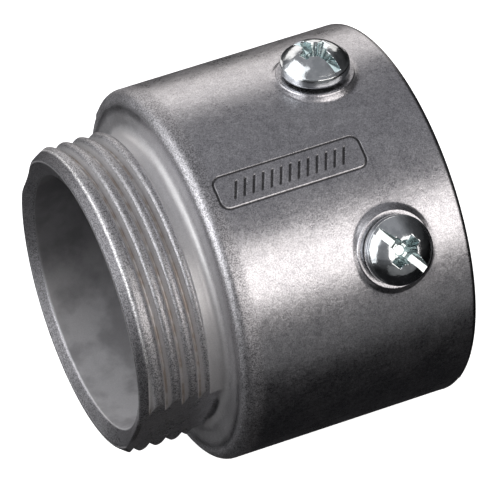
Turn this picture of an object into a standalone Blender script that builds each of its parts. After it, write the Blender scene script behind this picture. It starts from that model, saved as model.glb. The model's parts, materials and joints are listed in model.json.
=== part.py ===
"""Set-screw straight conduit connector, 1 1/4 inch trade size.

One die casting has an externally threaded neck, a shoulder that seats on an enclosure wall and a
plain socket for the conduit. Two machine screws in tapped bosses clamp the conduit.

Frame: X runs along the fitting, from the neck's mouth (-X) to the conduit end (+X). The origin is on
that axis in the plane of the shoulder's seat. Z points up through the top clamp screw. Angles round
the fitting are counted about +X from +Z, so 90 degrees faces -Y. All lengths are in metres.
"""
import math

import bmesh
import bpy

# Threaded neck, parallel pipe thread
THREAD_RADIUS = 0.020955
THREAD_PITCH = 0.002309
THREAD_DEPTH = 0.00120
THREAD_ROUNDING = 0.00072            # radius of the rounded crest
THREAD_FLANK_ANGLE = 27.5
THREAD_CREST_AT_FOOT = 0.00080       # first crest's distance from the mouth, along the underside
NECK_LENGTH = 0.01215
NECK_ROOT_RADIUS = THREAD_RADIUS - THREAD_DEPTH
NECK_BORE_RADIUS = 0.01734
LIP_WIDTH = 0.0003
LIP_BEVEL_DEPTH = 0.00095
LEAD_IN_SLOPE = 0.8                  # the thread's radius gained at the lip, for each unit along X
RELIEF_RADIUS = 0.0200
RELIEF_LENGTH = 0.0024
NECK_ROOT_FILLET = 0.0013

# Flats beside the die's parting plane, which keep the thread clear of the parting line
PARTING_ANGLE = 120.0
PARTING_FLAT_DISTANCE = 0.0189
PARTING_FLAT_WIDTH = 0.030
PARTING_FLAT_END = 0.0003            # how far before the seat the flats stop

# Barrel with the conduit socket
BARREL_LENGTH = 0.0330
BARREL_RADIUS_AT_SHOULDER = 0.0255
BARREL_RADIUS_AT_END = 0.0258
SHOULDER_CORNER = 0.0015
RIM_ROUNDING = 0.0004
SOCKET_RADIUS = 0.02145
SOCKET_CHAMFER = 0.0006
WEB_THICKNESS = 0.0032               # from the seat to the face that stops the conduit
THROAT_CHAMFER = 0.0008

# Clamp screws, M5 x 8 pan head with a slot and a cross recess
SCREW_STATION = 0.0226               # from the seat, along X
SHANK_RADIUS = 0.00225               # at the thread's pitch line
SHANK_LENGTH = 0.0080
TIP_CHAMFER = 0.0006
HEAD_RADIUS = 0.00455
HEAD_CREASE_RADIUS = 0.00440
HEAD_SIDE_HEIGHT = 0.0016
HEAD_DOME_HEIGHT = 0.0017
HEAD_EDGE_BREAK = 0.00015
SLOT_WIDTH = 0.00095
SLOT_DEPTH = 0.0016                  # from the top of the dome
CROSS_SPAN = 0.0046
CROSS_WING_WIDTH = 0.0012
CROSS_DEPTH = 0.0022
CROSS_TAPER = 0.45                   # size of the cross at its floor, against its size at the dome

# Screw bosses on the barrel
BOSS_FACE_DISTANCE = 0.0260          # from the fitting's axis
BOSS_RADIUS = 0.0051
BOSS_FLARE = 0.0003
BOSS_ROOT_DISTANCE = 0.0238
RUNNING_GAP = 0.0003                 # round a screw's shank, in its hole
HEAD_CLEARANCE = 0.0004              # between a screw's head and its boss

# Name, angle round the fitting and direction of the slot from +X, in degrees
SCREWS = (
    ("clamp_screw_top", 0.0, -70.0),
    ("clamp_screw_side", 60.0, -52.0),
)

BODY_SEGMENTS = 96
THREAD_SEGMENTS = 60
SCREW_SEGMENTS = 40
HOLE_SEGMENTS = 32
ARC_STEPS = 4
MERGE_DISTANCE = 0.00001
SHARP_ANGLE = math.radians(40)
CUT_MARGIN = 0.0010                  # how far a cutter runs past the surface that it opens
RIDGE_SINK = 0.0001                  # how far the ridge's flanks run on below the neck's surface

CASTING_COLOUR = (0.46, 0.46, 0.47, 1.0)
ZINC_COLOUR = (0.62, 0.65, 0.66, 1.0)


def clear_scene():
    for old in list(bpy.data.objects):
        bpy.data.objects.remove(old, do_unlink=True)


def new_collection(name):
    collection = bpy.data.collections.new(name)
    bpy.context.scene.collection.children.link(collection)
    return collection


def metal(name, colour, roughness):
    material = bpy.data.materials.new(name)
    material.use_nodes = True
    shader = material.node_tree.nodes["Principled BSDF"]
    shader.inputs["Base Color"].default_value = colour
    shader.inputs["Metallic"].default_value = 1.0
    shader.inputs["Roughness"].default_value = roughness
    return material


def add_object(name, mesh, collection, material=None):
    obj = bpy.data.objects.new(name, mesh)
    collection.objects.link(obj)
    if material:
        mesh.materials.append(material)
    return obj


def as_tool(obj):
    """Marks an object that only shapes another one."""
    obj.hide_render = True
    obj.display_type = "WIRE"
    return obj


def arc(centre, radius, start, end, steps=ARC_STEPS):
    """Points (r, z) on an arc, from one angle to another in degrees, counted from +r towards +z."""
    points = []
    for step in range(steps + 1):
        angle = math.radians(start + (end - start) * step / steps)
        points.append((centre[0] + radius * math.cos(angle), centre[1] + radius * math.sin(angle)))
    return points


def outline_mesh(name, points, closed):
    """A line of edges in the XZ plane, from points (r, z)."""
    mesh = bpy.data.meshes.new(name)
    bm = bmesh.new()
    verts = [bm.verts.new((r, 0.0, z)) for r, z in points]
    for first, second in zip(verts, verts[1:]):
        bm.edges.new((first, second))
    if closed:
        bm.edges.new((verts[-1], verts[0]))
    bm.to_mesh(mesh)
    bm.free()
    return mesh


def turn(obj, segments, pitch=0.0, turns=1):
    """Turns an outline about Z, as a ring or as a helix."""
    screw = obj.modifiers.new("turn", "SCREW")
    screw.axis = "Z"
    screw.angle = math.tau
    screw.screw_offset = pitch
    screw.iterations = turns
    screw.steps = segments
    screw.render_steps = segments
    screw.use_merge_vertices = pitch == 0.0
    screw.merge_threshold = MERGE_DISTANCE


def boolean(obj, tool, operation):
    """Joins a tool to an object, cuts it away or keeps what they share."""
    modifier = obj.modifiers.new(tool.name, "BOOLEAN")
    modifier.operation = operation
    modifier.solver = "EXACT"
    modifier.object = tool


def along_x(obj):
    """Lays an object that was turned about Z along the fitting's axis, with its +Z towards +X."""
    obj.rotation_euler = (0.0, math.pi / 2, 0.0)


def casting_profile():
    """Half section of the casting without its thread and bosses, (r, z) with z along the fitting."""
    mouth = -NECK_LENGTH
    points = arc((BARREL_RADIUS_AT_END - RIM_ROUNDING, BARREL_LENGTH - RIM_ROUNDING),
                 RIM_ROUNDING, 90, 0, 3)
    points += arc((BARREL_RADIUS_AT_SHOULDER - SHOULDER_CORNER, SHOULDER_CORNER),
                  SHOULDER_CORNER, 0, -90)
    points += arc((RELIEF_RADIUS + NECK_ROOT_FILLET, -NECK_ROOT_FILLET),
                  NECK_ROOT_FILLET, 90, 180)
    points += [
        (RELIEF_RADIUS, -RELIEF_LENGTH),
        (NECK_ROOT_RADIUS, -RELIEF_LENGTH - (RELIEF_RADIUS - NECK_ROOT_RADIUS)),
        (NECK_ROOT_RADIUS, mouth),
        (NECK_ROOT_RADIUS - LIP_WIDTH, mouth),
        (NECK_BORE_RADIUS, mouth + LIP_BEVEL_DEPTH),
        (NECK_BORE_RADIUS, WEB_THICKNESS - THROAT_CHAMFER),
        (NECK_BORE_RADIUS + THROAT_CHAMFER, WEB_THICKNESS),
        (SOCKET_RADIUS, WEB_THICKNESS),
        (SOCKET_RADIUS, BARREL_LENGTH - SOCKET_CHAMFER),
        (SOCKET_RADIUS + SOCKET_CHAMFER, BARREL_LENGTH),
    ]
    return points


def helical_ridge(tools):
    """The thread's ridge, a closed solid whose inner side is buried in the neck."""
    root_radius = NECK_ROOT_RADIUS - RIDGE_SINK
    buried_radius = root_radius - CUT_MARGIN / 2
    # The outline starts under the fitting, one turn before the first crest that the neck has there.
    start = -NECK_LENGTH + THREAD_CREST_AT_FOOT - THREAD_PITCH
    turns = math.ceil((NECK_LENGTH - RELIEF_LENGTH) / THREAD_PITCH)
    flank_start = 90.0 - THREAD_FLANK_ANGLE
    crest = arc((THREAD_RADIUS - THREAD_ROUNDING, start), THREAD_ROUNDING, flank_start, -flank_start, 3)
    flank_radius, flank_place = crest[0]
    flank_width = (flank_radius - root_radius) * math.tan(math.radians(THREAD_FLANK_ANGLE))
    half_root = flank_place - start + flank_width
    outline = [(buried_radius, start + half_root), (root_radius, start + half_root)]
    outline += crest
    outline += [(root_radius, start - half_root), (buried_radius, start - half_root)]
    guide = add_object("ridge_guide", outline_mesh("ridge_guide", outline, True), tools)
    turn(guide, THREAD_SEGMENTS, THREAD_PITCH, turns)
    evaluated = guide.evaluated_get(bpy.context.evaluated_depsgraph_get())
    mesh = bpy.data.meshes.new_from_object(evaluated)
    bpy.data.objects.remove(guide, do_unlink=True)
    bm = bmesh.new()
    bm.from_mesh(mesh)
    bmesh.ops.remove_doubles(bm, verts=bm.verts, dist=MERGE_DISTANCE)
    bmesh.ops.holes_fill(bm, edges=[edge for edge in bm.edges if edge.is_boundary])
    bmesh.ops.recalc_face_normals(bm, faces=bm.faces)
    bm.to_mesh(mesh)
    bm.free()
    ridge = as_tool(add_object("ridge", mesh, tools))
    along_x(ridge)
    return ridge


def thread(tools):
    """The ridge trimmed to the neck, with a chamfered start at the lip."""
    start = -NECK_LENGTH + RIDGE_SINK
    start_radius = NECK_ROOT_RADIUS - RIDGE_SINK / 2
    end = -RELIEF_LENGTH - RIDGE_SINK
    outer = THREAD_RADIUS + CUT_MARGIN
    outline = [
        (0.0, end),
        (outer, end),
        (outer, start + (outer - start_radius) / LEAD_IN_SLOPE),
        (start_radius, start),
        (0.0, start),
    ]
    mesh = outline_mesh("thread_envelope", outline, False)
    envelope = as_tool(add_object("thread_envelope", mesh, tools))
    turn(envelope, BODY_SEGMENTS)
    along_x(envelope)
    ridge = helical_ridge(tools)
    boolean(ridge, envelope, "INTERSECT")
    return ridge


def parting_flat(tools, angle):
    """A block that cuts the thread back to a flat whose outward normal is at the given angle."""
    length = NECK_LENGTH + CUT_MARGIN
    depth = THREAD_RADIUS
    mesh = bpy.data.meshes.new("parting_flat")
    bm = bmesh.new()
    bmesh.ops.create_cube(bm, size=1.0)
    bmesh.ops.scale(bm, vec=(length, PARTING_FLAT_WIDTH, depth), verts=bm.verts)
    middle = (-PARTING_FLAT_END - length / 2, 0.0, PARTING_FLAT_DISTANCE + depth / 2)
    bmesh.ops.translate(bm, vec=middle, verts=bm.verts)
    bm.to_mesh(mesh)
    bm.free()
    block = as_tool(add_object("parting_flat_%d" % round(angle), mesh, tools))
    block.rotation_euler = (math.radians(angle), 0.0, 0.0)
    return block


def round_tool(name, tools, angle, radius_in, radius_out, inner, outer, segments):
    """A cylinder or cone that points straight out from the fitting's axis, under a screw's head."""
    mesh = bpy.data.meshes.new(name)
    bm = bmesh.new()
    bmesh.ops.create_cone(bm, cap_ends=True, segments=segments,
                          radius1=radius_in, radius2=radius_out, depth=outer - inner)
    bmesh.ops.translate(bm, vec=(0.0, 0.0, (outer + inner) / 2), verts=bm.verts)
    bm.to_mesh(mesh)
    bm.free()
    mesh.shade_smooth()
    mesh.set_sharp_from_angle(angle=SHARP_ANGLE)
    tool = as_tool(add_object(name, mesh, tools))
    tool.location = (SCREW_STATION, 0.0, 0.0)
    tool.rotation_euler = (math.radians(angle), 0.0, 0.0)
    return tool


def connector_body(parts, tools):
    """The casting: its turned section, thread, parting flats, screw bosses and screw holes."""
    profile = outline_mesh("connector_body", casting_profile(), True)
    body = add_object("connector_body", profile, parts, metal("cast_aluminium", CASTING_COLOUR, 0.42))
    turn(body, BODY_SEGMENTS)
    along_x(body)
    boolean(body, thread(tools), "UNION")
    for side in (PARTING_ANGLE, PARTING_ANGLE - 180.0):
        boolean(body, parting_flat(tools, side), "DIFFERENCE")
    for name, angle, _ in SCREWS:
        boss = round_tool("boss_" + name, tools, angle, BOSS_RADIUS + BOSS_FLARE, BOSS_RADIUS,
                          BOSS_ROOT_DISTANCE, BOSS_FACE_DISTANCE, HOLE_SEGMENTS)
        boolean(body, boss, "UNION")
    for name, angle, _ in SCREWS:
        hole = round_tool("hole_" + name, tools, angle,
                          SHANK_RADIUS + RUNNING_GAP, SHANK_RADIUS + RUNNING_GAP,
                          SOCKET_RADIUS - CUT_MARGIN, BOSS_FACE_DISTANCE + CUT_MARGIN, HOLE_SEGMENTS)
        boolean(body, hole, "DIFFERENCE")


def screw_profile():
    """Half section of a clamp screw, (r, z) with z counted from the fitting's axis."""
    seat = BOSS_FACE_DISTANCE + HEAD_CLEARANCE
    crease = seat + HEAD_SIDE_HEIGHT
    top = crease + HEAD_DOME_HEIGHT
    tip = seat - SHANK_LENGTH
    dome_radius = (HEAD_CREASE_RADIUS ** 2 + HEAD_DOME_HEIGHT ** 2) / (2 * HEAD_DOME_HEIGHT)
    crease_angle = math.degrees(math.acos(HEAD_CREASE_RADIUS / dome_radius))
    points = [(0.0, top)]
    points += arc((0.0, top - dome_radius), dome_radius, 90, crease_angle, 6)[1:]
    points += [
        (HEAD_RADIUS, seat + HEAD_EDGE_BREAK),
        (HEAD_RADIUS - HEAD_EDGE_BREAK, seat),
        (SHANK_RADIUS, seat),
        (SHANK_RADIUS, tip + TIP_CHAMFER),
        (SHANK_RADIUS - TIP_CHAMFER, tip),
        (0.0, tip),
    ]
    return points


def bar(bm, length, width, floor, top, taper):
    """Adds a straight bar along X, narrower and shorter at its floor where it tapers."""
    made = bmesh.ops.create_cube(bm, size=1.0)["verts"]
    bmesh.ops.scale(bm, vec=(length, width, top - floor), verts=made)
    bmesh.ops.translate(bm, vec=(0.0, 0.0, (top + floor) / 2), verts=made)
    for vert in made:
        if vert.co.z < (top + floor) / 2:
            vert.co.x *= taper
            vert.co.y *= taper
    return made


def drive_tool(name, tools, length, width, depth, taper, quarter_turn):
    """A cutter for the slot, or for one arm of the cross recess."""
    top = BOSS_FACE_DISTANCE + HEAD_CLEARANCE + HEAD_SIDE_HEIGHT + HEAD_DOME_HEIGHT
    mesh = bpy.data.meshes.new(name)
    bm = bmesh.new()
    made = bar(bm, length, width, top - depth, top + CUT_MARGIN, taper)
    if quarter_turn:
        for vert in made:
            vert.co.x, vert.co.y = -vert.co.y, vert.co.x
    bm.to_mesh(mesh)
    bm.free()
    return as_tool(add_object(name, mesh, tools))


def clamp_screw(name, angle, slot_angle, parts, tools, material):
    """One screw, whose origin is where its own axis meets the fitting's axis."""
    axis = bpy.data.objects.new("axis_" + name, None)
    tools.objects.link(axis)
    axis.location = (SCREW_STATION, 0.0, 0.0)
    axis.rotation_euler = (math.radians(angle), 0.0, 0.0)
    screw = add_object(name, outline_mesh(name, screw_profile(), False), parts, material)
    screw.parent = axis
    screw.rotation_euler = (0.0, 0.0, math.radians(slot_angle))
    turn(screw, SCREW_SEGMENTS)
    drives = (
        ("slot_", 2 * HEAD_RADIUS + CUT_MARGIN, SLOT_WIDTH, SLOT_DEPTH, 1.0, False),
        ("cross_along_", CROSS_SPAN, CROSS_WING_WIDTH, CROSS_DEPTH, CROSS_TAPER, False),
        ("cross_over_", CROSS_SPAN, CROSS_WING_WIDTH, CROSS_DEPTH, CROSS_TAPER, True),
    )
    for prefix, length, width, depth, taper, quarter_turn in drives:
        tool = drive_tool(prefix + name, tools, length, width, depth, taper, quarter_turn)
        tool.parent = screw
        boolean(screw, tool, "DIFFERENCE")


def main():
    clear_scene()
    parts = new_collection("conduit_connector")
    tools = new_collection("tools")
    connector_body(parts, tools)
    zinc = metal("zinc_plated_steel", ZINC_COLOUR, 0.22)
    for name, angle, slot_angle in SCREWS:
        clamp_screw(name, angle, slot_angle, parts, tools, zinc)


main()
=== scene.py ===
"""Looks for the set-screw conduit connector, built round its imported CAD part.

The frame is the part's own: X runs along the fitting from the neck's mouth to the conduit end, the
origin lies on that axis in the plane of the shoulder's seat, and Z points up through the top clamp
screw. Angles round the fitting are counted in degrees about +X from +Z, so 90 faces -Y, the side of
the viewer. All lengths are in metres.
"""
import json
import math
from functools import partial, reduce
from types import SimpleNamespace

import bmesh
import bpy
import numpy as np
from mathutils import Matrix, Vector

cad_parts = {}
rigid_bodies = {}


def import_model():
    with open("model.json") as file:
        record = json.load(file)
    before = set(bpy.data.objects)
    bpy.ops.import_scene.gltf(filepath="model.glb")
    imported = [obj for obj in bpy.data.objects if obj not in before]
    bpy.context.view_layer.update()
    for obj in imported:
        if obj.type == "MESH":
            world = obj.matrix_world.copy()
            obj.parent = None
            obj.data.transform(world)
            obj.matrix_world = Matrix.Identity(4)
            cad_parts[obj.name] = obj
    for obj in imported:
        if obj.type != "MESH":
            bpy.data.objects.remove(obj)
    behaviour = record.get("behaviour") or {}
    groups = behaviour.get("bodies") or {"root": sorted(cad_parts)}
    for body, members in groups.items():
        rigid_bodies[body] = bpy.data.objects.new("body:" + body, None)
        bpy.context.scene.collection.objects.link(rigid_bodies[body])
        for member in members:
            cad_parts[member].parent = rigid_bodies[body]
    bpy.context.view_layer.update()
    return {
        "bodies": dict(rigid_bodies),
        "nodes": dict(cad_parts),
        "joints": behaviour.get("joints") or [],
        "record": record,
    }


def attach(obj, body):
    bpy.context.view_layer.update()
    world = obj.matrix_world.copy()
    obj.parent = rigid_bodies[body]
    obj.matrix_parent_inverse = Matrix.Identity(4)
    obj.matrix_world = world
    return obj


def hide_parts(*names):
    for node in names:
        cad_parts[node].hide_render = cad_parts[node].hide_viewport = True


# Threaded neck
THREAD_RADIUS = 0.020955
THREAD_PITCH = 0.002309
THREAD_DEPTH = 0.00120
THREAD_ROUNDING = 0.00072
FLANK_ANGLE = math.radians(27.5)
CREST_AT_FOOT = 0.00080              # from the mouth to the crest at 180 degrees
FIRST_GROOVE_START = 240.0           # degrees along the thread, counted from there
FIRST_GROOVE_FADE = 50.0             # degrees in which the groove reaches its depth
ROOT_RADIUS = THREAD_RADIUS - THREAD_DEPTH
NECK_LENGTH = 0.01215
NECK_BORE_RADIUS = 0.01734
LIP_WIDTH = 0.0003
LIP_BEVEL_DEPTH = 0.00095
LIP_EDGE = 0.00022
BORE_EDGE = 0.00030
LEAD_IN_SLOPE = 0.8
RELIEF_RADIUS = 0.0200
RELIEF_LENGTH = 0.0024
RELIEF_RAMP = 0.0006                 # in which the relief falls to the thread's root
RUN_OUT_SLOPE = 2.2
ROOT_BLEND = 0.00012
LEAD_IN_BLEND = 0.00030
RUN_OUT_BLEND = 0.00015
FLAT_BLEND = 0.00012
ROOT_FILLET = 0.0013

# The mould's parting line: two seams, where the thread is cut flat and the lower half sits lower
PARTING_ANGLES = (120.0, 300.0)
LOWER_SIDES = (1.0, -1.0)            # the way to turn from each seam to the lower half
FLAT_DISTANCES = (0.0189, 0.0192)
SEAM_HEIGHT = 0.00007
SEAM_WIDTH = 0.00030
SEAM_STEP = 0.00016
SEAM_STEP_FADE = 40.0                # degrees
SEAM_STEP_START = 0.1                # degrees

# Barrel
BARREL_LENGTH = 0.0330
SHOULDER_RADIUS = 0.0255
RIM_RADIUS = 0.0258
SHOULDER_CORNER = 0.0015
RIM_ROUNDING = 0.0007
SOCKET_RADIUS = 0.02145
SOCKET_CHAMFER = 0.0006
STOP_FILLET = 0.0003
WEB_THICKNESS = 0.0032
THROAT_CHAMFER = 0.0008

# Cartouche on the barrel
CARTOUCHE_ANGLE = 30.3
CARTOUCHE_CENTRE = 0.0128
CARTOUCHE_LENGTH = 0.0202
CARTOUCHE_HEIGHT = 0.0045
CARTOUCHE_CORNER = 0.0012
CARTOUCHE_MARGIN = 0.0004            # of the finer mesh round it
LINE_WIDTH = 0.00042
LINE_DEPTH = 0.00007
STROKE_WIDTH = 1.2 * LINE_WIDTH
STROKE_COUNT = 13
STROKE_SPACING = 0.00125
STROKE_HEIGHT = 0.0020
STROKE_LEAN = 0.45

# Clamp screws and their bosses
SCREW_STATION = 0.0226
BOSS_FACE = 0.0260
BOSS_RADIUS = 0.0051
BOSS_SLOPE = 0.0008
BOSS_FOOT = 0.4                      # share of the slope that curves up from the barrel
BOSS_EDGE = 0.00015
BOSS_FACE_MARGIN = 0.0004            # of the face's first loop from the edge
HOLE_RADIUS = 0.00255
HOLE_EDGE = 0.0002
HOLE_DEPTH = 0.0020                  # from the face to the hole's last loop before the socket
HOLE_CHAMFER = 0.00015
HEAD_SEAT = BOSS_FACE + 0.0004
HEAD_RADIUS = 0.00455
HEAD_FOOT_RADIUS = 0.00435
HEAD_FOOT_EDGE = 0.00005
HEAD_SIDE = 0.0016
HEAD_CREASE = HEAD_SEAT + HEAD_SIDE
HEAD_WIDEST = 0.45                   # share of the way down from the crease to the seat
HEAD_BULGE = 2.6
CREASE_RADIUS = 0.00428
DOME_HEIGHT = 0.0017
DOME_POWER = 3.1
SHANK_LENGTH = 0.0080
SHANK_OVERLAP = 0.0002               # with the head
SHANK_CHAMFER = 0.0003
SCREW_CREST_WIDTH = 1.35             # 1 for a pure wave, more for flatter crests
SCREW_PITCH = 0.0008
SCREW_MAJOR_RADIUS = 0.00242
SCREW_MINOR_RADIUS = 0.00205
SLOT_HALF_WIDTH = 0.000475
SLOT_DEPTH = 0.0016
SLOT_WALL_SLOPE = 9.0
SLOT_BLEND = 0.00008
CROSS_HALF_SPAN = 0.0023
CROSS_HALF_WIDTH = 0.00075
CROSS_CORE_RADIUS = 0.0016
CROSS_CORE_DROP = 0.0002
CROSS_DEPTH = 0.0022
CROSS_TAPER = 0.45
CROSS_BLEND = 0.00010
SUNK_DEPTH = 0.0003                  # below the dome at which the recess has its own tint

# CAD node, body, angle round the fitting, direction of the slot from +X
SCREWS = (
    ("clamp_screw_top", "top_screw", 0.0, -70.0),
    ("clamp_screw_side", "side_screw", 60.0, -52.0),
)

# Mesh density
ANGLE_STEP = 2.0 / 3.0
SEAM_OFFSETS = (0.15, 0.3, 0.45)     # degrees beside a seam at which the mesh has extra lines
WINDOW_HALF_ANGLE = 16.0             # of the square patches that carry the screw holes
WINDOW_CELLS = round(2 * WINDOW_HALF_ANGLE / ANGLE_STEP)
OUTER_WINDOW_HALF_LENGTH = 0.0070
INNER_WINDOW_HALF_LENGTH = 0.0060
THREAD_STEP = 0.00005
THREAD_OVERRUN = 0.0008              # how far the thread's fine mesh runs into the relief
BARREL_STEP = 0.0003
BOSS_STEPS = 12
CARTOUCHE_CUTS = 6
HEAD_GRID = ((0.0, 0.00030, 0.00009), (0.00030, 0.00070, 0.00003), (0.00070, 0.00438, 0.00007))
HEAD_GRID_MARGIN = 0.00002
HEAD_SIDE_STEPS = 14
SHANK_COLUMNS = 72
SHANK_STEP = 0.00005
SHARP_ANGLE = 24.0                   # between two faces of a screw that meet in an edge

# Kinds of surface on the casting, each from where it starts to where it is complete, along X
THREAD_X = (-0.0026, -0.0030)
NECK_X = (0.0004, -0.0004)
FLAT_X = (-0.0004, -0.0012)
STAIN_X = (-0.0112, -0.0109)
BEVEL_X = (-0.01105, -0.01125)
CORNER_X = (0.0034, 0.0018)
BORE_X = (0.0030, 0.0)
RIM_X = (0.03220, 0.03245)
# The same in distance from the axis
OUTSIDE_R = (0.0186, 0.0187)
BORE_R = (0.01750, 0.01736)
BEVEL_R = (0.01935, 0.01900)
NECK_R = (0.01930, 0.01970)
ROOT_R = (0.01998, 0.01985)
CREST_R = (0.02030, 0.02075)
LIP_FACE_R = (0.02062, 0.02050)
SEAT_R = (0.0236, 0.0220)
RIM_R = (0.0230, 0.0232)
CORNER_R = (0.0232, 0.0240)
# The same in height over the lead-in cone, below a flat, and from the painted highlight line round the lip
LIP_HEIGHT = (0.00024, 0.00012)
FLAT_SINK = (0.00010, 0.00004)
LIP_HIGHLIGHT_RADIUS = 0.02070
LIP_HIGHLIGHT_WIDTH = (0.00010, 0.00003)

# Reflectivity of the casting and of the plating
METAL_DARK = (0.43, 0.425, 0.45, 1.0)
METAL_LIGHT = (0.58, 0.575, 0.60, 1.0)
FLANK_TONE = (0.66, 0.655, 0.66, 1.0)
CREST_TONE = (0.32, 0.315, 0.325, 1.0)
# Painted shade: a darker band on the lip's lead-in cone, nearer the mouth than the painted highlight line
LIP_SHADE_TONE = (0.13, 0.128, 0.137, 1.0)
# Painted highlight: a bright line round the lip's lead-in cone
LIP_HIGHLIGHT_TONE = (0.75, 0.745, 0.75, 1.0)
STAIN_TONE = (0.34, 0.27, 0.22, 1.0)
BORE_DARK = (0.44, 0.435, 0.45, 1.0)
BORE_LIGHT = (0.70, 0.695, 0.71, 1.0)
RIM_TONE = (0.13, 0.128, 0.135, 1.0)
BEVEL_TONE = (0.20, 0.197, 0.21, 1.0)
# Painted shade: darkens the shoulder's rounded corner, dimming the lamps' highlight on it
CORNER_SHADE_TONE = (0.32, 0.315, 0.33, 1.0)
# Painted shade: darkens the engraved lines, the more the deeper they are sunk
ENGRAVED_SHADE_TONE = (0.06, 0.058, 0.06, 1.0)
ZINC_DARK = (0.57, 0.60, 0.62, 1.0)
ZINC_LIGHT = (0.72, 0.75, 0.77, 1.0)
ZINC_RECESS = (0.55, 0.64, 0.635, 1.0)

# Studio
LIGHT_DISTANCE = 0.6
FLOOR_HALF_SIZE = 4.0
FLOOR_GAP = 0.0001
WARM = (1.0, 0.95, 0.905)


def smooth_min(a, b, blend):
    """The lower of two heights, rounded where they cross."""
    share = np.clip(0.5 + 0.5 * (b - a) / blend, 0.0, 1.0)
    return b + (a - b) * share - blend * share * (1.0 - share)


def smooth_max(a, b, blend):
    return -smooth_min(-a, -b, blend)


def ease(share):
    """Goes smoothly from 0 to 1 with the share."""
    return share * share * (3.0 - 2.0 * share)


def arc(centre, radius, start, end, steps):
    """Points (x, r) on an arc, from one angle to another in degrees, counted from +x towards +r."""
    angles = np.radians(np.linspace(start, end, steps + 1))
    return [(centre[0] + radius * math.cos(a), centre[1] + radius * math.sin(a)) for a in angles]


def casting_angles():
    """Every angle at which the casting has a line of vertices, closer together at the mould's seams."""
    angles = np.arange(round(360.0 / ANGLE_STEP)) * ANGLE_STEP
    extra = [seam + side * offset for seam in PARTING_ANGLES for offset in SEAM_OFFSETS for side in (-1, 1)]
    return np.unique(np.round(np.concatenate([angles, extra]), 6))


def thread_radius(x, angles):
    """Radius of the rounded thread, whose first groove only opens some way along its first turn."""
    turned = (angles + 180.0) % 360.0
    crest = CREST_AT_FOOT - NECK_LENGTH + THREAD_PITCH * turned / 360.0
    place = (x - crest) / THREAD_PITCH
    offset = np.abs(place - np.round(place)) * THREAD_PITCH
    round_end = THREAD_ROUNDING * math.cos(FLANK_ANGLE)
    cap = np.sqrt(THREAD_ROUNDING ** 2 - np.minimum(offset, round_end) ** 2)
    flank = np.maximum(offset - round_end, 0.0) / math.tan(FLANK_ANGLE)
    radius = THREAD_RADIUS - THREAD_ROUNDING + cap - flank
    radius = smooth_max(radius, np.full_like(radius, ROOT_RADIUS), ROOT_BLEND)
    along = turned + 360.0 * (np.floor(place) + 1.0)
    opened = np.clip((along - FIRST_GROOVE_START) / FIRST_GROOVE_FADE, 0.0, 1.0)
    return THREAD_RADIUS - (THREAD_RADIUS - radius) * ease(opened)


def neck_radius(x, angles):
    """The neck's outer radius: thread, lead-in, run-out at the relief and the flats at the seams."""
    x = x + np.zeros_like(angles)
    lead_in = ROOT_RADIUS + (x + NECK_LENGTH) * LEAD_IN_SLOPE
    radius = smooth_min(thread_radius(x, angles), lead_in, LEAD_IN_BLEND)
    run_out = RELIEF_RADIUS + np.maximum(0.0, -RELIEF_LENGTH - x) * RUN_OUT_SLOPE
    radius = smooth_min(radius, run_out, RUN_OUT_BLEND)
    step = np.clip((x + RELIEF_LENGTH + RELIEF_RAMP) / RELIEF_RAMP, 0.0, 1.0)
    relief = ROOT_RADIUS + (RELIEF_RADIUS - ROOT_RADIUS) * ease(step)
    radius = np.where(step > 0.0, np.maximum(radius, relief), radius)
    for seam, distance in zip(PARTING_ANGLES, FLAT_DISTANCES):
        facing = np.cos(np.radians(angles - seam))
        flat = np.where(facing > 0.5, distance / np.maximum(facing, 0.5), 1.0)
        radius = smooth_min(radius, flat, FLAT_BLEND)
    return radius


def bevel_place(radius):
    """Where the hollow bevel of the mouth lies along X, at a given radius."""
    span = ROOT_RADIUS - LIP_WIDTH - NECK_BORE_RADIUS
    return -NECK_LENGTH + LIP_BEVEL_DEPTH * np.clip(1.0 - (radius - NECK_BORE_RADIUS) / span, 0.0, 1.0)


def bend(start, corner, end, steps):
    """Points (x, r) on a curve that rounds a corner, without its two ends."""
    points = []
    for share in np.linspace(0.0, 1.0, steps + 2)[1:-1]:
        weights = ((1.0 - share) ** 2, 2.0 * share * (1.0 - share), share * share)
        points.append(tuple(sum(w * p[i] for w, p in zip(weights, (start, corner, end))) for i in (0, 1)))
    return points


def seam_height(angles, radius):
    """The fine raised seam that the mould leaves on the barrel, and the small step of its lower half."""
    height = np.zeros_like(angles)
    for seam, lower_side in zip(PARTING_ANGLES, LOWER_SIDES):
        turned = (angles - seam + 180.0) % 360.0 - 180.0
        away = np.radians(turned) * radius
        height += SEAM_HEIGHT * np.exp(-(away / (SEAM_WIDTH / 2)) ** 2)
        below = lower_side * turned
        fade = np.clip(1.0 - below / SEAM_STEP_FADE, 0.0, 1.0)
        height -= np.where(below > SEAM_STEP_START, SEAM_STEP * fade * fade, 0.0)
    return height


def barrel_radius(x):
    share = (x - SHOULDER_CORNER) / (BARREL_LENGTH - RIM_ROUNDING - SHOULDER_CORNER)
    return SHOULDER_RADIUS + (RIM_RADIUS - SHOULDER_RADIUS) * share


class Section:
    """The casting's section as rings in order, each an (x, radius) pair of arrays over the angles."""

    def __init__(self, angles):
        self.angles = angles
        self.rings = []
        self.windows = {}

    def ring(self, x, radius):
        self.rings.append((np.full_like(self.angles, x), np.zeros_like(self.angles) + radius))

    def mark_window(self, side):
        """Notes that the windows of the screw holes start at the last ring."""
        first = len(self.rings) - 1
        self.windows[side] = (first, first + WINDOW_CELLS)


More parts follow.
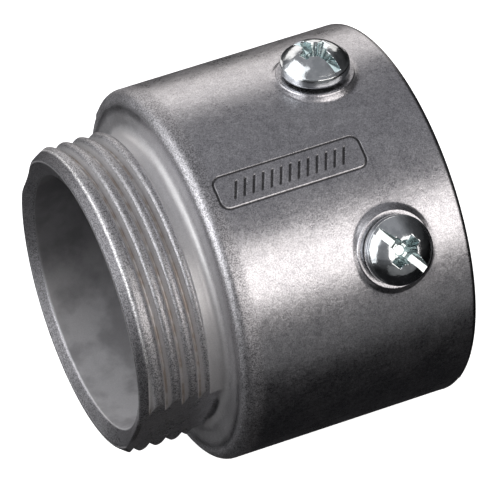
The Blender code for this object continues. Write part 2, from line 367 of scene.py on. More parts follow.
def add_thread(section):
    """The neck's outside, from the edge of the mouth to the fillet at the shoulder."""
    angles = section.angles
    # Where the flats cut the lip back, the thread starts further along and its first rings crowd up.
    set_back = bevel_place(neck_radius(-NECK_LENGTH, angles)) + NECK_LENGTH
    steps = round((NECK_LENGTH - RELIEF_LENGTH + THREAD_OVERRUN) / THREAD_STEP)
    for along in np.arange(steps + 1) * THREAD_STEP:
        crowding = max(0.0, 1.0 - along / LIP_BEVEL_DEPTH)
        x = -NECK_LENGTH + LIP_EDGE + along + set_back * crowding
        section.ring(x, neck_radius(x, angles))
    last = section.rings[-1][0][0]
    for x in np.linspace(last, -ROOT_FILLET, 5)[1:-1]:
        section.ring(x, neck_radius(x, angles))


def add_shoulder(section):
    """The fillet at the neck's root, the seat and the shoulder's rounded corner."""
    angles = section.angles
    flats = neck_radius(-ROOT_FILLET, angles) - RELIEF_RADIUS
    for x, r in arc((-ROOT_FILLET, RELIEF_RADIUS + ROOT_FILLET), ROOT_FILLET, -90, 0, 12):
        fade = max(0.0, 1.0 - (r - RELIEF_RADIUS) / ROOT_FILLET)
        section.ring(x, r + flats * fade)
    for r in np.linspace(RELIEF_RADIUS + ROOT_FILLET, SHOULDER_RADIUS - SHOULDER_CORNER, 8)[1:-1]:
        section.ring(0.0, r)
    for x, r in arc((SHOULDER_CORNER, SHOULDER_RADIUS - SHOULDER_CORNER), SHOULDER_CORNER, 180, 90, 10):
        section.ring(x, r + seam_height(angles, r))


def add_barrel(section):
    """The barrel, with even cells in the windows of the screw holes, and its rounded rim."""
    seams = seam_height(section.angles, SHOULDER_RADIUS)
    first = SCREW_STATION - OUTER_WINDOW_HALF_LENGTH
    last = SCREW_STATION + OUTER_WINDOW_HALF_LENGTH
    end = BARREL_LENGTH - RIM_ROUNDING
    for x in np.linspace(SHOULDER_CORNER, first, round((first - SHOULDER_CORNER) / BARREL_STEP) + 1)[1:]:
        section.ring(x, barrel_radius(x) + seams)
    section.mark_window("outer")
    for x in np.linspace(first, last, WINDOW_CELLS + 1)[1:]:
        section.ring(x, barrel_radius(x) + seams)
    for x in np.linspace(last, end, 9)[1:-1]:
        section.ring(x, barrel_radius(x) + seams)
    for x, r in arc((end, RIM_RADIUS - RIM_ROUNDING), RIM_ROUNDING, 90, 0, 6):
        section.ring(x, r + seam_height(section.angles, r) / 2)


def add_socket(section):
    """The end face, the socket with its chamfer, and the step that stops the conduit."""
    for r in np.linspace(RIM_RADIUS - RIM_ROUNDING, SOCKET_RADIUS + SOCKET_CHAMFER, 7)[1:]:
        section.ring(BARREL_LENGTH, r)
    section.ring(BARREL_LENGTH - SOCKET_CHAMFER / 2, SOCKET_RADIUS + SOCKET_CHAMFER / 2)
    section.ring(BARREL_LENGTH - SOCKET_CHAMFER, SOCKET_RADIUS)
    first = SCREW_STATION + INNER_WINDOW_HALF_LENGTH
    last = SCREW_STATION - INNER_WINDOW_HALF_LENGTH
    for x in np.linspace(BARREL_LENGTH - SOCKET_CHAMFER, first, 7)[1:]:
        section.ring(x, SOCKET_RADIUS)
    section.mark_window("inner")
    for x in np.linspace(first, last, WINDOW_CELLS + 1)[1:]:
        section.ring(x, SOCKET_RADIUS)
    corner = WEB_THICKNESS + STOP_FILLET
    for x in np.linspace(last, corner, 14)[1:]:
        section.ring(x, SOCKET_RADIUS)
    for x, r in arc((corner, SOCKET_RADIUS - STOP_FILLET), STOP_FILLET, 90, 180, 4)[1:]:
        section.ring(x, r)
    for r in np.linspace(SOCKET_RADIUS - STOP_FILLET, NECK_BORE_RADIUS + THROAT_CHAMFER, 6)[1:]:
        section.ring(WEB_THICKNESS, r)
    section.ring(WEB_THICKNESS - THROAT_CHAMFER / 2, NECK_BORE_RADIUS + THROAT_CHAMFER / 2)


def add_throat(section):
    """The smooth bore of the neck, the bevel of the mouth and the edge of the lip."""
    angles = section.angles
    bore_end = -NECK_LENGTH + LIP_BEVEL_DEPTH
    for x in np.linspace(WEB_THICKNESS - THROAT_CHAMFER, bore_end + BORE_EDGE, 24):
        section.ring(x, NECK_BORE_RADIUS)
    inner = NECK_BORE_RADIUS + BORE_EDGE
    start = (bore_end + BORE_EDGE, NECK_BORE_RADIUS)
    for x, r in bend(start, (bore_end, NECK_BORE_RADIUS), (bevel_place(inner), inner), 4):
        section.ring(x, r)
    edge_radius = neck_radius(-NECK_LENGTH, angles)
    edge_place = bevel_place(edge_radius)
    crown = edge_radius - LIP_EDGE - LIP_WIDTH / 2
    for share in np.linspace(0.0, 1.0, 10):
        radius = inner + (crown - inner) * share
        section.ring(bevel_place(radius), radius)
    start = (bevel_place(crown), crown)
    end = (edge_place + LIP_EDGE, neck_radius(edge_place + LIP_EDGE, angles))
    for x, r in bend(start, (edge_place, edge_radius), end, 5):
        section.ring(x, r)


class Surface:
    """Vertices and faces of a mesh as they are collected."""

    def __init__(self):
        self.points = []
        self.faces = []

    def add(self, points):
        start = len(self.points)
        self.points.extend(points)
        return list(range(start, len(self.points)))

    def turn(self, number):
        """The direction in which a vertex lies round Z."""
        return math.atan2(self.points[number][1], self.points[number][0])

    def bridge(self, first, second):
        """Faces between two closed loops of the same length."""
        for k in range(len(first)):
            n = (k + 1) % len(first)
            self.faces.append((first[k], first[n], second[n], second[k]))

    def grow(self, loop, points):
        """Adds the next loop and the faces that lead to it."""
        added = self.add(points)
        self.bridge(loop, added)
        return added

    def mesh(self, name):
        mesh = bpy.data.meshes.new(name)
        mesh.from_pydata(self.points, [], self.faces)
        mesh.validate()
        return mesh


class HoleFrame:
    """A screw's own directions: along X from its station, across it, and out from the axis."""

    def __init__(self, screw_angle):
        turned = math.radians(screw_angle)
        self.outward = Vector((0.0, -math.sin(turned), math.cos(turned)))
        self.sideways = Vector((0.0, -math.cos(turned), -math.sin(turned)))

    def place(self, along, across, height):
        point = self.outward * height + self.sideways * across
        return (SCREW_STATION + along, point.y, point.z)

    def flat_place(self, point):
        """How far a point lies along X from the screw's station, and across the screw."""
        return point[0] - SCREW_STATION, Vector(point).dot(self.sideways)


def wall_height(radius, across):
    """Height out from the axis at which a round wall lies, a given way across a screw."""
    return math.sqrt(radius * radius - across * across)


def barrel_height(along, across):
    return wall_height(barrel_radius(SCREW_STATION + along), across)


def boss_climb(share):
    """Share of the boss's height reached on its slope: a curved foot, then straight up to the edge."""
    at_foot = BOSS_FOOT * BOSS_FOOT * (1.5 - 0.5 * BOSS_FOOT)
    if share < BOSS_FOOT:
        return share * share * (1.5 - 0.5 * share)
    return at_foot + (share - BOSS_FOOT) * (1.0 - at_foot) / (1.0 - BOSS_FOOT)


def window_column(angles, screw_angle):
    """The first column of a screw's windows."""
    return int(np.argmin(np.abs(angles - (screw_angle - WINDOW_HALF_ANGLE) % 360.0)))


def window_border(grid, window, low):
    """The vertices round a window, starting at one corner and turning once."""
    first, last = window
    high = low + WINDOW_CELLS
    border = [(first, column) for column in range(low, high)]
    border += [(ring, high) for ring in range(first, last)]
    border += [(last, column) for column in range(high, low, -1)]
    border += [(ring, low) for ring in range(last, first, -1)]
    return [grid[ring][column % len(grid[ring])] for ring, column in border]


def border_turns(spots):
    """The direction round the screw in which each point of a window's border lies."""
    half_along = max(abs(along) for along, _ in spots)
    half_across = max(abs(across) for _, across in spots)
    return [math.atan2(across / half_across, along / half_along) for along, across in spots]


def shrink(spots, turns, radius, share):
    """The border's points, moved by a share of the way towards a circle round the screw."""
    circle = [(radius * math.cos(turn), radius * math.sin(turn)) for turn in turns]
    return [(along + (u - along) * share, across + (v - across) * share)
            for (along, across), (u, v) in zip(spots, circle)]


def add_boss(surface, hole, border):
    """From the window's border on the barrel over the boss and down into the screw's hole.

    Returns the last loop of vertices, and the direction in which each of them lies.
    """
    spots = [hole.flat_place(surface.points[index]) for index in border]
    turns = border_turns(spots)
    foot_radius = BOSS_RADIUS + BOSS_SLOPE
    previous = border
    for share in (0.25, 0.5, 0.75, 1.0):
        moved = shrink(spots, turns, foot_radius, share)
        previous = surface.grow(previous, [hole.place(u, v, barrel_height(u, v)) for u, v in moved])
    for step in range(1, BOSS_STEPS + 1):
        share = step / BOSS_STEPS
        radius = foot_radius - BOSS_SLOPE * share
        loop = []
        for turn in turns:
            along, across = radius * math.cos(turn), radius * math.sin(turn)
            ground = barrel_height(along, across)
            height = ground + (BOSS_FACE - BOSS_EDGE - ground) * boss_climb(share)
            loop.append(hole.place(along, across, height))
        previous = surface.grow(previous, loop)
    profile = arc((BOSS_FACE - BOSS_EDGE, BOSS_RADIUS - BOSS_EDGE), BOSS_EDGE, 60, 0, 3)
    face = np.linspace(BOSS_RADIUS - BOSS_FACE_MARGIN, HOLE_RADIUS + HOLE_EDGE, 6)
    profile += [(BOSS_FACE, radius) for radius in face]
    profile += [(BOSS_FACE - HOLE_EDGE, HOLE_RADIUS), (BOSS_FACE - HOLE_DEPTH, HOLE_RADIUS)]
    for height, radius in profile:
        loop = [hole.place(radius * math.cos(turn), radius * math.sin(turn), height) for turn in turns]
        previous = surface.grow(previous, loop)
    return previous, turns


def add_hole_end(surface, hole, border, turns):
    """From the window's border in the socket to the hole's end, in the order of the directions given."""
    spots = [hole.flat_place(surface.points[index]) for index in border]
    inner_turns = border_turns(spots)
    numbers = range(len(turns))
    partners = dict(zip(sorted(numbers, key=inner_turns.__getitem__), sorted(numbers, key=turns.__getitem__)))
    matched = [turns[partners[number]] for number in numbers]
    previous = border
    for share in (0.3, 0.6, 0.85, 1.0):
        moved = shrink(spots, matched, HOLE_RADIUS + HOLE_CHAMFER, share)
        previous = surface.grow(previous, [hole.place(u, v, wall_height(SOCKET_RADIUS, v)) for u, v in moved])
    loop = []
    for turn in matched:
        along, across = HOLE_RADIUS * math.cos(turn), HOLE_RADIUS * math.sin(turn)
        loop.append(hole.place(along, across, wall_height(SOCKET_RADIUS, across) + HOLE_CHAMFER))
    previous = surface.grow(previous, loop)
    ordered = {partners[number]: previous[number] for number in numbers}
    return [ordered[number] for number in numbers]


def add_screw_hole(surface, grid, section, screw_angle):
    """Fills the two windows of one screw, with a hole right through the wall between them."""
    hole = HoleFrame(screw_angle)
    low = window_column(section.angles, screw_angle)
    outer, turns = add_boss(surface, hole, window_border(grid, section.windows["outer"], low))
    inner = add_hole_end(surface, hole, window_border(grid, section.windows["inner"], low), turns)
    surface.bridge(outer, inner)


def cartouche_depth(along, across):
    """Depth of the engraving at a point of the cartouche, counted from its middle."""
    half_length = CARTOUCHE_LENGTH / 2 - CARTOUCHE_CORNER
    half_height = CARTOUCHE_HEIGHT / 2 - CARTOUCHE_CORNER
    out_x = max(abs(along) - half_length, 0.0)
    out_y = max(abs(across) - half_height, 0.0)
    inside = min(max(abs(along) - half_length, abs(across) - half_height), 0.0)
    frame = abs(math.hypot(out_x, out_y) + inside - CARTOUCHE_CORNER)
    depth = LINE_DEPTH * max(0.0, 1.0 - (frame / (LINE_WIDTH / 2)) ** 2)
    if abs(across) < STROKE_HEIGHT / 2 + LINE_WIDTH:
        slant = along - across * STROKE_LEAN
        middle = (STROKE_COUNT - 1) / 2
        number = min(max(round(slant / STROKE_SPACING + middle), 0), STROKE_COUNT - 1)
        beside = abs(slant - (number - middle) * STROKE_SPACING)
        beyond = max(abs(across) - STROKE_HEIGHT / 2, 0.0)
        stroke = math.hypot(beside, beyond) / (STROKE_WIDTH / 2)
        depth = max(depth, LINE_DEPTH * max(0.0, 1.0 - stroke ** 2))
    return depth


def engrave_cartouche(bm):
    """Refines the barrel under the cartouche, sinks its lines and notes how deep each vertex is sunk."""
    sunk = bm.verts.layers.float.new("sunk")
    half_length = CARTOUCHE_LENGTH / 2 + CARTOUCHE_MARGIN
    half_height = CARTOUCHE_HEIGHT / 2 + CARTOUCHE_MARGIN

    def spot(co):
        angle = math.degrees(math.atan2(-co.y, co.z))
        radius = math.hypot(co.y, co.z)
        return co.x - CARTOUCHE_CENTRE, math.radians(CARTOUCHE_ANGLE - angle) * radius, radius

    patch = []
    for face in bm.faces:
        along, across, radius = spot(face.calc_center_median())
        if abs(along) < half_length and abs(across) < half_height and radius > SOCKET_RADIUS:
            patch.append(face)
    edges = list({edge for face in patch for edge in face.edges})
    made = bmesh.ops.subdivide_edges(bm, edges=edges, cuts=CARTOUCHE_CUTS, use_grid_fill=True)
    verts = {vert for vert in made["geom"] if isinstance(vert, bmesh.types.BMVert)}
    verts.update(vert for face in patch if face.is_valid for vert in face.verts)
    for vert in verts:
        along, across, radius = spot(vert.co)
        depth = cartouche_depth(along, across)
        scale = (barrel_radius(vert.co.x) - depth) / radius
        vert.co.y *= scale
        vert.co.z *= scale
        vert[sunk] = depth / LINE_DEPTH


def finish_mesh(mesh, detail=None):
    """Adds any finer detail and turns the faces outwards."""
    bm = bmesh.new()
    bm.from_mesh(mesh)
    if detail:
        detail(bm)
    bmesh.ops.recalc_face_normals(bm, faces=bm.faces)
    bm.to_mesh(mesh)
    bm.free()
    mesh.shade_smooth()


def connector_body():
    """The casting as one closed surface."""
    section = Section(casting_angles())
    for add_part in (add_thread, add_shoulder, add_barrel, add_socket, add_throat):
        add_part(section)
    surface = Surface()
    turned = np.radians(section.angles)
    grid = []
    for x, radius in section.rings:
        points = np.stack([x, -radius * np.sin(turned), radius * np.cos(turned)], axis=1)
        grid.append(surface.add([tuple(point) for point in points.tolist()]))
    columns = len(section.angles)
    skipped = set()
    for _, _, screw_angle, _ in SCREWS:
        low = window_column(section.angles, screw_angle)
        for first, last in section.windows.values():
            skipped.update((ring, (low + cell) % columns) for ring in range(first, last)
                           for cell in range(WINDOW_CELLS))
    for ring, line in enumerate(grid):
        after = grid[(ring + 1) % len(grid)]
        for column in range(columns):
            beside = (column + 1) % columns
            if (ring, column) not in skipped:
                surface.faces.append((line[column], after[column], after[beside], line[beside]))
    for _, _, screw_angle, _ in SCREWS:
        add_screw_hole(surface, grid, section, screw_angle)
    mesh = surface.mesh("connector_body_looks")
    finish_mesh(mesh, engrave_cartouche)
    body = bpy.data.objects.new("casting", mesh)
    bpy.context.scene.collection.objects.link(body)
    return body


def dome_height(rho):
    """Height of the plain dome at a radius, from its top down."""
    return -DOME_HEIGHT * (np.minimum(rho, CREASE_RADIUS) / CREASE_RADIUS) ** DOME_POWER


def head_height(p, q):
    """Height of the screw's dome with its slot and cross recess, from its top down, below zero."""
    rho = np.hypot(p, q)
    height = dome_height(rho)
    slot = -SLOT_DEPTH + np.maximum(0.0, np.abs(q) - SLOT_HALF_WIDTH) * SLOT_WALL_SLOPE
    steepness = CROSS_DEPTH / (1.0 - CROSS_TAPER)

    def wing(length_way, width_way):
        ends = (1.0 - np.abs(length_way) / CROSS_HALF_SPAN) * steepness
        sides = (1.0 - np.abs(width_way) / CROSS_HALF_WIDTH) * steepness
        return -np.minimum(np.minimum(ends, sides), CROSS_DEPTH)

    core = -np.minimum((1.0 - rho / CROSS_CORE_RADIUS) * steepness, CROSS_DEPTH + CROSS_CORE_DROP)
    recess = np.minimum(np.minimum(wing(p, q), wing(q, p)), core)
    height = smooth_min(height, slot, SLOT_BLEND)
    return smooth_min(height, recess, CROSS_BLEND)


def head_lines():
    """Grid lines across the head, closer together where the slot and the cross have edges."""
    half = np.concatenate([np.arange(*stretch) for stretch in HEAD_GRID])
    return np.concatenate([-half[:0:-1], half])


def add_dome(surface):
    """The recessed dome: a square grid of cells, whose outermost points are moved onto the crease.

    Returns the loop of vertices on the crease, and how deep each vertex is sunk below the plain dome.
    """
    lines = head_lines()
    p, q = np.meshgrid(lines, lines, indexing="ij")
    rho = np.hypot(p, q)
    inside = rho < CREASE_RADIUS - HEAD_GRID_MARGIN
    cells = inside[:-1, :-1] & inside[1:, :-1] & inside[1:, 1:] & inside[:-1, 1:]
    used = np.zeros_like(inside)
    for rows in (slice(None, -1), slice(1, None)):
        for columns in (slice(None, -1), slice(1, None)):
            used[rows, columns] |= cells
    surrounded = np.zeros_like(inside)
    surrounded[1:-1, 1:-1] = cells[:-1, :-1] & cells[1:, :-1] & cells[:-1, 1:] & cells[1:, 1:]
    rim = used & ~surrounded
    stretch = np.where(rim, CREASE_RADIUS / np.maximum(rho, 1e-9), 1.0)
    p, q = p * stretch, q * stretch
    height = head_height(p, q)
    sunk = np.clip((dome_height(np.hypot(p, q)) - height) / SUNK_DEPTH, 0.0, 1.0)
    points = np.stack([p, q, HEAD_CREASE + DOME_HEIGHT + height], axis=-1)[used]
    index = np.zeros(inside.shape, int)
    index[used] = surface.add([tuple(point) for point in points.tolist()])
    for i, j in np.argwhere(cells):
        surface.faces.append((index[i, j], index[i + 1, j], index[i + 1, j + 1], index[i, j + 1]))
    crease = sorted(index[rim].tolist(), key=surface.turn)
    return crease, sunk[used]


def side_radius(share):
    """Radius of the head's rounded side, a share of the way down from the crease to the seat."""
    if share < HEAD_WIDEST:
        inset = CREASE_RADIUS
        away = 1.0 - share / HEAD_WIDEST
    else:
        inset = HEAD_FOOT_RADIUS
        away = (share - HEAD_WIDEST) / (1.0 - HEAD_WIDEST)
    return inset + (HEAD_RADIUS - inset) * math.sqrt(1.0 - away ** HEAD_BULGE)


def add_side(surface, crease):
    """The head's side and its seat. The ends of the slot notch the crease."""
    turns = [surface.turn(number) for number in crease]
    notches = [min(0.0, surface.points[number][2] - HEAD_CREASE) for number in crease]
    previous = crease
    for step in range(1, HEAD_SIDE_STEPS + 1):
        share = step / HEAD_SIDE_STEPS
        radius = side_radius(share)
        level = HEAD_CREASE - (HEAD_SIDE - HEAD_FOOT_EDGE) * share
        left = max(0.0, 1.0 - 3.0 * share)
        loop = [(radius * math.cos(turn), radius * math.sin(turn), level + notch * left)
                for turn, notch in zip(turns, notches)]
        previous = surface.grow(previous, loop)
    for radius in (HEAD_FOOT_RADIUS - HEAD_FOOT_EDGE, SCREW_MAJOR_RADIUS * 0.9):
        loop = [(radius * math.cos(turn), radius * math.sin(turn), HEAD_SEAT) for turn in turns]
        previous = surface.grow(previous, loop)
    surface.faces.append(tuple(previous[::-1]))


def add_shank(surface):
    """The threaded shank, a helical surface closed at both ends."""
    tip = HEAD_SEAT - SHANK_LENGTH
    start = HEAD_SEAT + SHANK_OVERLAP
    turns = np.arange(SHANK_COLUMNS) * math.tau / SHANK_COLUMNS
    middle = (SCREW_MAJOR_RADIUS + SCREW_MINOR_RADIUS) / 2
    swing = (SCREW_MAJOR_RADIUS - SCREW_MINOR_RADIUS) / 2
    loops = []
    for level in np.linspace(start, tip, round((start - tip) / SHANK_STEP)):
        phase = (level / SCREW_PITCH - turns / math.tau) * math.tau
        radius = middle + swing * np.clip(SCREW_CREST_WIDTH * np.cos(phase), -1.0, 1.0)
        radius = np.minimum(radius, SCREW_MINOR_RADIUS - SHANK_CHAMFER + (level - tip))
        points = zip((radius * np.cos(turns)).tolist(), (radius * np.sin(turns)).tolist())
        loops.append(surface.add([(across, up, float(level)) for across, up in points]))
    for loop, after in zip(loops, loops[1:]):
        surface.bridge(loop, after)
    surface.faces.append(tuple(loops[0]))
    surface.faces.append(tuple(loops[-1][::-1]))


def clamp_screw(name, screw_angle, slot_angle):
    """A pan-head screw: recessed dome, crease, side and seat, and a threaded shank."""
    surface = Surface()
    crease, sunk = add_dome(surface)
    add_side(surface, crease)
    add_shank(surface)
    mesh = surface.mesh(name + "_looks")
    finish_mesh(mesh)
    depths = np.zeros(len(mesh.vertices))
    depths[:len(sunk)] = sunk
    mesh.attributes.new("sunk", "FLOAT", "POINT").data.foreach_set("value", depths)
    mesh.set_sharp_from_angle(angle=math.radians(SHARP_ANGLE))
    mesh.transform(Matrix.Translation((SCREW_STATION, 0.0, 0.0))
                   @ Matrix.Rotation(math.radians(screw_angle), 4, "X")
                   @ Matrix.Rotation(math.radians(slot_angle), 4, "Z"))
    screw = bpy.data.objects.new(name.replace("clamp_", "") + "_zinc", mesh)
    bpy.context.scene.collection.objects.link(screw)
    return screw


class Nodes:
    """Short ways to write a material's nodes."""

    def __init__(self, name):
        self.material = bpy.data.materials.new(name)
        self.material.use_nodes = True
        self.tree = self.material.node_tree
        self.shader = self.tree.nodes["Principled BSDF"]
        self.position = self.tree.nodes.new("ShaderNodeTexCoord").outputs["Object"]

    def feed(self, socket, value):
        """Sets an input to a number or a colour, or links it to another node's output."""
        if isinstance(value, bpy.types.NodeSocket):
            self.tree.links.new(value, socket)
        else:
            socket.default_value = value

    def shade(self, **inputs):
        """Feeds the shader's own inputs, whose names have spaces for underscores."""
        for name, value in inputs.items():
            self.feed(self.shader.inputs[name.replace("_", " ")], value)

    def math(self, operation, *values):
        node = self.tree.nodes.new("ShaderNodeMath")
        node.operation = operation
        for socket, value in zip(node.inputs, values):
            self.feed(socket, value)
        return node.outputs[0]

    def add(self, *values):
        return reduce(partial(self.math, "ADD"), values)

    def times(self, *values):
        return reduce(partial(self.math, "MULTIPLY"), values)

    def highest(self, *values):
        return reduce(partial(self.math, "MAXIMUM"), values)

    def less(self, value, taken):
        """The value, less what is taken from it."""
        return self.math("SUBTRACT", value, taken)

    def ramp(self, value, low, high, start=0.0, end=1.0):
        """Goes smoothly from start to end as the value goes from low to high."""
        node = self.tree.nodes.new("ShaderNodeMapRange")
        node.interpolation_type = "SMOOTHSTEP"
        self.feed(node.inputs["Value"], value)
        for name, number in (("From Min", low), ("From Max", high), ("To Min", start), ("To Max", end)):
            self.feed(node.inputs[name], number)
        return node.outputs["Result"]

    def noise(self, size, detail=2.0, roughness=0.5):
        """Noise whose features are about the given size, from 0 to 1."""
        node = self.tree.nodes.new("ShaderNodeTexNoise")
        for name, value in (("Vector", self.position), ("Scale", 1.0 / size), ("Detail", detail),
                            ("Roughness", roughness)):
            self.feed(node.inputs[name], value)
        return node.outputs["Fac"]

    def mix(self, share, first, second):
        """The first colour, blended into the second as the share goes from 0 to 1."""
        node = self.tree.nodes.new("ShaderNodeMix")
        node.data_type = "RGBA"
        for number, value in ((0, share), (6, first), (7, second)):
            self.feed(node.inputs[number], value)
        return node.outputs[2]

    def tint(self, colour, mask, strength, tone):
        """The colour, drawn towards a tone where the mask is 1, by the strength."""
        return self.mix(self.times(mask, strength), colour, tone)

    def attribute(self, name):
        node = self.tree.nodes.new("ShaderNodeAttribute")
        node.attribute_name = name
        return node.outputs["Fac"]

    def scale(self, colour, factor):
        node = self.tree.nodes.new("ShaderNodeVectorMath")
        node.operation = "SCALE"
        self.feed(node.inputs[0], colour)
        self.feed(node.inputs["Scale"], factor)
        return node.outputs["Vector"]

    def bump(self, height, distance, normal=None):
        node = self.tree.nodes.new("ShaderNodeBump")
        self.feed(node.inputs["Strength"], 1.0)
        self.feed(node.inputs["Distance"], distance)
        self.feed(node.inputs["Height"], height)
        if normal:
            self.feed(node.inputs["Normal"], normal)
        return node.outputs["Normal"]

    def split(self):
        node = self.tree.nodes.new("ShaderNodeSeparateXYZ")
        self.feed(node.inputs["Vector"], self.position)
        return node.outputs["X"], node.outputs["Y"], node.outputs["Z"]


def casting_masks(n):
    """Where each kind of surface lies on the casting, from 0 to 1, and the height over its axis."""
    x, y, z = n.split()
    radius = n.math("SQRT", n.add(n.times(y, y), n.times(z, z)))
    seam = math.radians(PARTING_ANGLES[0])
    toward_seam = n.add(n.times(y, -math.sin(seam)), n.times(z, math.cos(seam)))
    near_flat = n.ramp(toward_seam, *(FLAT_DISTANCES[0] - sink for sink in FLAT_SINK))
    far_flat = n.ramp(toward_seam, *(sink - FLAT_DISTANCES[1] for sink in FLAT_SINK))
    flat = n.times(n.highest(near_flat, far_flat), n.ramp(x, *FLAT_X))
    uncut = n.less(1.0, flat)
    outside = n.ramp(radius, *OUTSIDE_R)
    on_thread = n.times(n.ramp(x, *THREAD_X), outside)
    lead_in = n.add(n.times(x, LEAD_IN_SLOPE), ROOT_RADIUS + NECK_LENGTH * LEAD_IN_SLOPE)
    lip = n.times(n.ramp(n.less(lead_in, radius), *LIP_HEIGHT), outside)
    crest = n.highest(n.times(on_thread, n.ramp(radius, *CREST_R)), lip)
    neck = n.times(n.ramp(x, *NECK_X), n.ramp(radius, *NECK_R), n.ramp(radius, *SEAT_R), uncut)
    # Where the painted highlight line runs round the lip's lead-in
    from_highlight_line = n.math("ABSOLUTE", n.less(radius, LIP_HIGHLIGHT_RADIUS))
    return SimpleNamespace(
        height=z,
        flat=flat,
        neck=neck,
        crest=crest,
        flank=n.times(neck, n.less(1.0, crest)),
        root=n.times(on_thread, n.ramp(radius, *ROOT_R), uncut, n.ramp(x, *STAIN_X)),
        lip_face=n.times(lip, n.ramp(radius, *LIP_FACE_R)),
        wear_and_highlight=n.times(lip, n.ramp(from_highlight_line, *LIP_HIGHLIGHT_WIDTH)),
        bevel=n.times(n.ramp(x, *BEVEL_X), n.ramp(radius, *BEVEL_R)),
        bore=n.times(n.ramp(x, *BORE_X), n.ramp(radius, *BORE_R)),
        rim=n.times(n.ramp(x, *RIM_X), n.ramp(radius, *RIM_R)),
        corner=n.times(n.ramp(x, *CORNER_X), n.ramp(radius, *CORNER_R)),
    )


def casting_colour(n, at, mottle, cloud):
    """Mottled metal with smooth light flanks, dark crests and lip, painted shade and a painted highlight line
    on the lip's lead-in, and painted shade that darkens the bore upwards.
    """
    patches = n.add(n.ramp(mottle, 0.30, 0.70, 0.0, 0.65), n.ramp(cloud, 0.3, 0.7, 0.0, 0.35))
    colour = n.mix(patches, METAL_DARK, METAL_LIGHT)
    colour = n.tint(colour, at.flank, 0.7, FLANK_TONE)
    colour = n.tint(colour, at.crest, 0.6, CREST_TONE)
    # Painted shade on the lip's lead-in, nearer the mouth than the painted highlight line
    colour = n.tint(colour, at.lip_face, 0.85, LIP_SHADE_TONE)
    # Painted highlight: a bright line round the lip's lead-in
    colour = n.tint(colour, at.wear_and_highlight, 0.8, LIP_HIGHLIGHT_TONE)
    colour = n.tint(colour, at.root, n.ramp(n.noise(0.0018, 2.0, 0.6), 0.35, 0.65, 0.15, 0.75), STAIN_TONE)
    bore = n.mix(n.ramp(cloud, 0.35, 0.65), BORE_DARK, BORE_LIGHT)
    # Painted light and shade: the bore is brightened near its bottom and darkened towards its top
    colour = n.tint(colour, at.bore, 0.9, n.scale(bore, n.ramp(at.height, -0.0165, -0.0020, 1.15, 0.30)))
    colour = n.tint(colour, at.rim, 0.85, RIM_TONE)
    colour = n.tint(colour, at.bevel, 0.8, BEVEL_TONE)
    # Painted shade that dims the highlight on the shoulder's rounded corner
    colour = n.tint(colour, at.corner, 0.5, CORNER_SHADE_TONE)
    # Painted shade in the engraved lines, darker where they are sunk deeper
    return n.tint(colour, n.attribute("sunk"), 0.9, ENGRAVED_SHADE_TONE)


def cast_aluminium():
    """Grainy casting, grainiest where it shows wear; the thread's flanks and the bore are even and matte."""
    n = Nodes("cast_aluminium_mottled")
    at = casting_masks(n)
    grain = n.noise(0.00016, 1.0, 0.5)
    pits = n.noise(0.00042, 3.0, 0.65)
    mottle = n.noise(0.0012, 4.0, 0.62)
    cloud = n.noise(0.0050, 3.0, 0.55)
    even = n.add(n.times(at.flank, 0.75), n.times(at.bore, 0.85))
    grainy = n.less(1.0, even)
    wear_and_highlight = n.highest(at.crest, at.bevel, at.corner)
    speckle = n.add(n.ramp(grain, 0.25, 0.75, 0.72, 1.25), n.ramp(pits, 0.3, 0.7, -0.12, 0.10),
                    n.times(wear_and_highlight, n.ramp(grain, 0.3, 0.7, -0.22, 0.26)))
    roughness = n.add(n.ramp(pits, 0.35, 0.65, 0.27, 0.33), n.ramp(cloud, 0.3, 0.7, -0.02, 0.03),
                      n.times(n.highest(at.neck, at.corner), 0.15), n.times(at.bore, 0.20))
    matte = n.add(at.flank, at.bore, n.times(at.crest, 0.4), n.times(n.highest(at.bevel, at.flat), 0.5))
    relief = n.times(n.add(n.times(grain, 0.6), pits), grainy)
    n.shade(
        Base_Color=n.scale(casting_colour(n, at, mottle, cloud), n.add(n.times(speckle, grainy), even)),
        Roughness=roughness,
        Metallic=n.less(1.0, n.times(matte, 0.35)),
        Normal=n.bump(mottle, 0.000010, n.bump(relief, 0.000016)),
    )
    return n.material


def zinc_plating():
    """Bright plating, a little greener inside the recess."""
    n = Nodes("zinc_plating_bright")
    colour = n.mix(n.ramp(n.noise(0.0012), 0.35, 0.65), ZINC_DARK, ZINC_LIGHT)
    dents = n.bump(n.noise(0.0016), 0.00006)
    n.shade(
        Base_Color=n.tint(colour, n.attribute("sunk"), 0.6, ZINC_RECESS),
        Roughness=n.ramp(n.noise(0.0007, 3.0), 0.3, 0.7, 0.10, 0.20),
        Metallic=1.0,
        Normal=n.bump(n.noise(0.0005), 0.000010, dents),
    )
    return n.material


def paint(obj, material):
    obj.data.materials.clear()
    obj.data.materials.append(material)


def pale_floor(level):
    """A white floor that is bright of itself, and that the fitting neither mirrors nor shades."""
    half = FLOOR_HALF_SIZE
    corners = [(x, y, level) for x, y in ((-half, -half), (half, -half), (half, half), (-half, half))]
    mesh = bpy.data.meshes.new("floor")
    mesh.from_pydata(corners, [], [(0, 1, 2, 3)])
    n = Nodes("floor_white")
    n.shade(Base_Color=(0.9, 0.9, 0.9, 1.0), Roughness=0.9, Emission_Color=(1.0, 1.0, 1.0, 1.0),
            Emission_Strength=0.9)
    mesh.materials.append(n.material)
    floor = bpy.data.objects.new("floor", mesh)
    bpy.context.scene.collection.objects.link(floor)
    floor.visible_glossy = False
    floor.visible_diffuse = False
    floor.visible_shadow = False


def stand(name, data, right, up, back, place):
    """Puts a light or a camera at a place, with its own three directions given; it looks along -back."""
    obj = bpy.data.objects.new(name, data)
    bpy.context.scene.collection.objects.link(obj)
    obj.matrix_world = Matrix.Translation(place) @ Matrix((right, up, back)).transposed().to_4x4()
    return obj


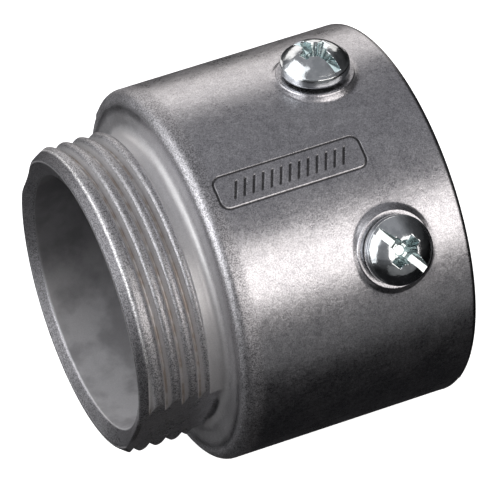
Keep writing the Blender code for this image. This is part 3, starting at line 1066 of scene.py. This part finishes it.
def softbox(name, lean, angle, length, width, radiance, colour=(1.0, 1.0, 1.0)):
    """A soft light that faces the fitting.

    It stands in the direction that leans from the plane across the fitting towards +X, at an angle round
    the axis. Its length runs as near along X as it can, and its sizes are the angles that it fills.
    """
    toward_x = math.radians(lean)
    turned = math.radians(angle)
    outward = Vector((math.sin(toward_x), -math.cos(toward_x) * math.sin(turned),
                      math.cos(toward_x) * math.cos(turned)))
    across = outward.cross(Vector((1.0, 0.0, 0.0))).normalized()
    along = across.cross(outward)
    data = bpy.data.lights.new(name, "AREA")
    data.shape = "RECTANGLE"
    data.size = 2 * LIGHT_DISTANCE * math.tan(math.radians(length / 2))
    data.size_y = 2 * LIGHT_DISTANCE * math.tan(math.radians(width / 2))
    data.color = colour
    data.energy = radiance * math.pi * data.size * data.size_y
    stand(name, data, along, across, outward, outward * LIGHT_DISTANCE)


def studio_world():
    """A dim room: mid grey overhead, nearly black below, and darker towards +X."""
    world = bpy.data.worlds.new("studio")
    bpy.context.scene.world = world
    world.use_nodes = True
    tree = world.node_tree
    background = tree.nodes["Background"]
    split = tree.nodes.new("ShaderNodeSeparateXYZ")
    tree.links.new(tree.nodes.new("ShaderNodeTexCoord").outputs["Generated"], split.inputs["Vector"])

    def spread(source, low, high, start, end):
        node = tree.nodes.new("ShaderNodeMapRange")
        tree.links.new(source, node.inputs["Value"])
        for name, number in (("From Min", low), ("From Max", high), ("To Min", start), ("To Max", end)):
            node.inputs[name].default_value = number
        return node.outputs["Result"]

    ramp = tree.nodes.new("ShaderNodeValToRGB")
    stops = ramp.color_ramp.elements
    stops[0].position = 0.0
    stops[0].color = (0.010, 0.010, 0.011, 1.0)
    stops[1].position = 1.0
    stops[1].color = (0.33, 0.33, 0.345, 1.0)
    for position, level in ((0.30, 0.015), (0.50, 0.08), (0.62, 0.22)):
        stops.new(position).color = (level, level, level * 1.04, 1.0)
    tree.links.new(spread(split.outputs["Z"], -1.0, 1.0, 0.0, 1.0), ramp.inputs["Fac"])
    tree.links.new(ramp.outputs["Color"], background.inputs["Color"])
    tree.links.new(spread(split.outputs["X"], 0.35, 0.80, 1.0, 0.2), background.inputs["Strength"])


def camera(aim, distance, azimuth, elevation, roll, lens):
    """A camera on the -Y side, turned towards -X by the azimuth."""
    data = bpy.data.cameras.new("camera")
    data.lens = lens
    data.sensor_width = 36.0
    data.clip_start = 0.01
    turned = math.radians(azimuth)
    raised = math.radians(elevation)
    back = Vector((-math.sin(turned) * math.cos(raised), -math.cos(turned) * math.cos(raised),
                   math.sin(raised)))
    right = Vector((-back.y, back.x, 0.0)).normalized()
    up = back.cross(right)
    tipped = math.radians(roll)
    right, up = (right * math.cos(tipped) + up * math.sin(tipped),
                 up * math.cos(tipped) - right * math.sin(tipped))
    bpy.context.scene.camera = stand("camera", data, right, up, back, Vector(aim) + back * distance)


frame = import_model()

body = connector_body()
paint(body, cast_aluminium())
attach(body, "body")
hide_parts("connector_body")

zinc = zinc_plating()
for node, rides_on, screw_angle, slot_angle in SCREWS:
    screw = clamp_screw(node, screw_angle, slot_angle)
    paint(screw, zinc)
    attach(screw, rides_on)
    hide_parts(node)

pale_floor(-RIM_RADIUS - FLOOR_GAP)
studio_world()
softbox("softbox_back", 15.0, -69.0, 70.0, 33.0, 1.1, WARM)
softbox("softbox_front", 15.0, 64.0, 56.0, 32.0, 2.2, WARM)
softbox("softbox_left", -62.0, -18.0, 80.0, 64.0, 1.45)
softbox("backdrop_left", -62.0, -85.0, 60.0, 60.0, 0.38)
softbox("softbox_low", 5.0, 108.0, 60.0, 30.0, 0.16)
softbox("lamp_left", -70.0, 22.0, 26.0, 26.0, 3.0)
camera((0.01275, 0.0002, 0.0014), 0.39655, 23.97, 39.27, -1.93, 214.8)
bpy.context.scene.view_settings.view_transform = "Standard"
